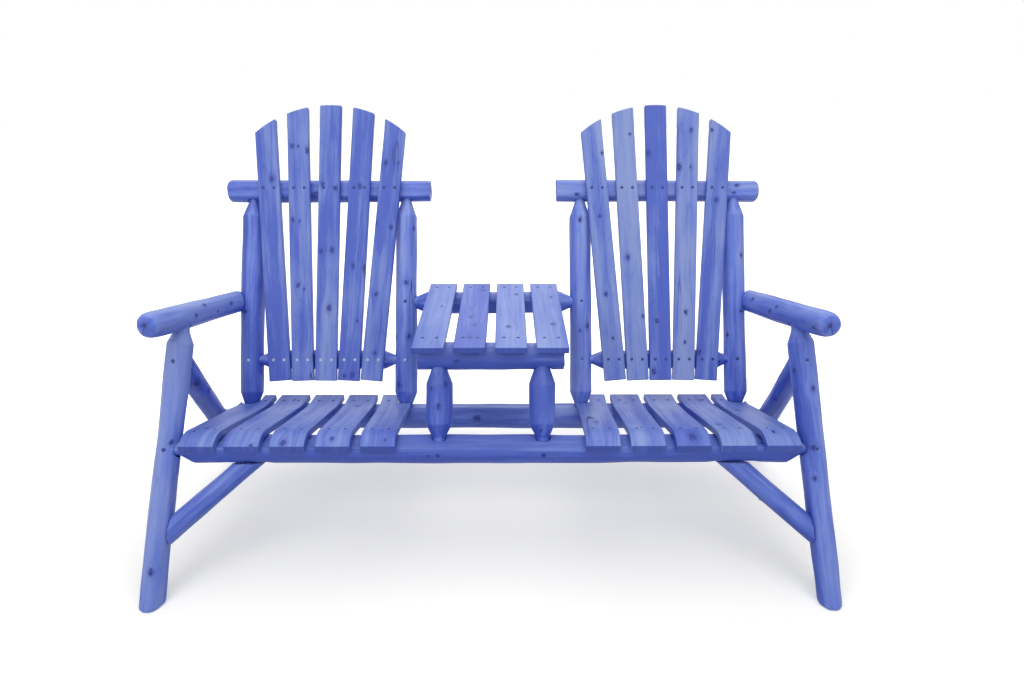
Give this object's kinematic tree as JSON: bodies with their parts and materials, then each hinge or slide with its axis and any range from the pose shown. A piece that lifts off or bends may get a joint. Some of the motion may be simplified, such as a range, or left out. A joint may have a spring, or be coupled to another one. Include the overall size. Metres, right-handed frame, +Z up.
{
  "type": "garden bench with table",
  "caption": "Rustic log garden bench: adirondack-style chairs side by side with a slatted table between them, on splayed leaning legs.",
  "frame": {"origin": "on the floor under the middle of the bench's bounding box", "axes": "+X along the bench to the right as seen from the front, +Y from the front to the back, +Z up"},
  "size_m": [1.7028, 0.8728, 1.0544],
  "materials": {
    "stained_logs": "satin blue stain",
    "stained_boards": "satin blue stain",
    "screws": "satin"
  },
  "bodies": {
    "root": {"arm_left": "stained_logs", "arm_right": "stained_logs", "back_post_inner_left": "stained_logs", "back_post_inner_right": "stained_logs", "back_post_outer_left": "stained_logs", "back_post_outer_right": "stained_logs", "back_rail": "stained_logs", "back_slat_1_left": "stained_boards", "back_slat_1_right": "stained_boards", "back_slat_2_left": "stained_boards", "back_slat_2_right": "stained_boards", "back_slat_3_left": "stained_boards", "back_slat_3_right": "stained_boards", "back_slat_4_left": "stained_boards", "back_slat_4_right": "stained_boards", "back_slat_5_left": "stained_boards", "back_slat_5_right": "stained_boards", "back_slat_screws": "screws", "frame_screws": "screws", "front_leg_left": "stained_logs", "front_leg_right": "stained_logs", "front_rail": "stained_logs", "knee_brace_left": "stained_logs", "knee_brace_right": "stained_logs", "lower_back_rail_left": "stained_logs", "lower_back_rail_right": "stained_logs", "rear_leg_left": "stained_logs", "rear_leg_right": "stained_logs", "seat_nails": "screws", "seat_slat_1_left": "stained_boards", "seat_slat_1_right": "stained_boards", "seat_slat_2_left": "stained_boards", "seat_slat_2_right": "stained_boards", "seat_slat_3_left": "stained_boards", "seat_slat_3_right": "stained_boards", "seat_slat_4_left": "stained_boards", "seat_slat_4_right": "stained_boards", "seat_slat_5_left": "stained_boards", "seat_slat_5_right": "stained_boards", "table_back_beam": "stained_logs", "table_front_beam": "stained_logs", "table_nails": "screws", "table_post_left": "stained_logs", "table_post_right": "stained_logs", "table_slat_1_left": "stained_boards", "table_slat_1_right": "stained_boards", "table_slat_2_left": "stained_boards", "table_slat_2_right": "stained_boards", "top_rail_left": "stained_logs", "top_rail_right": "stained_logs"}
  },
  "joints": []
}
